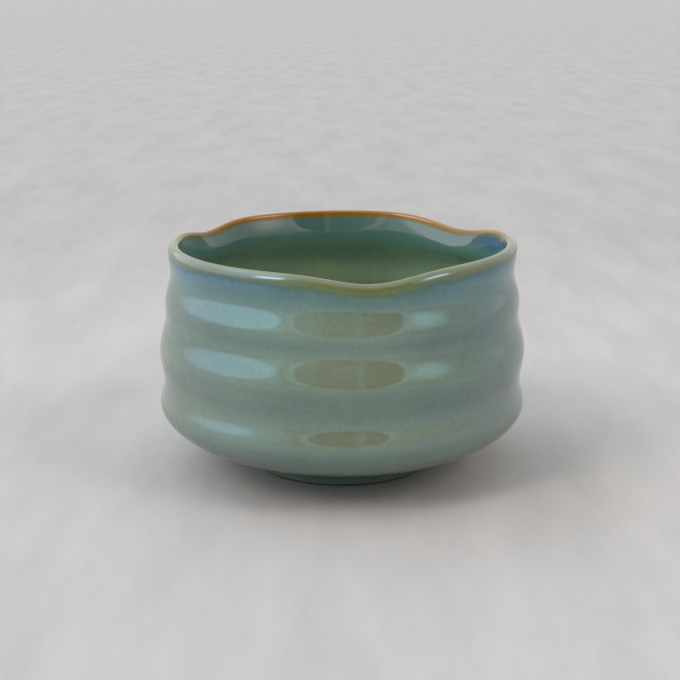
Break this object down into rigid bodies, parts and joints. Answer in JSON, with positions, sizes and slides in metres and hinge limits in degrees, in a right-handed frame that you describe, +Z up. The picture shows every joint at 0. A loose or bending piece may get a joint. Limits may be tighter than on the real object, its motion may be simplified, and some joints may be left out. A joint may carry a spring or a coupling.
{
  "type": "matcha bowl",
  "caption": "Wide cylindrical tea bowl with a gently wavy rim, throwing ridges round the wall, a rounded belly and a low turned foot ring.",
  "frame": {"origin": "centre of the face that the foot ring rests on, at the bottom of the bowl", "axes": "+Z up along the bowl's axis; the dips of the wavy rim lie at about 40, 149 and 279 degrees from +X towards +Y"},
  "size_m": [0.1248, 0.1248, 0.0778],
  "materials": {
    "clay": "unglazed red-brown stoneware, hidden under the glaze",
    "foot_clay": "unglazed red-brown stoneware, matt, ground smooth where it rests",
    "outer_glaze": "glossy olive grey-green glaze with a blue-grey bloom under the lip",
    "lip_glaze": "glossy amber-brown glaze, thin over the lip",
    "inner_glaze": "glossy dark green glaze with teal bloom",
    "foot_glaze": "glossy dark green glaze in the foot's recess"
  },
  "bodies": {
    "root": {"clay_body": "clay", "foot_ring": "foot_clay", "outer_glaze": "outer_glaze", "lip_glaze": "lip_glaze", "inner_glaze": "inner_glaze", "foot_glaze": "foot_glaze"}
  },
  "joints": []
}
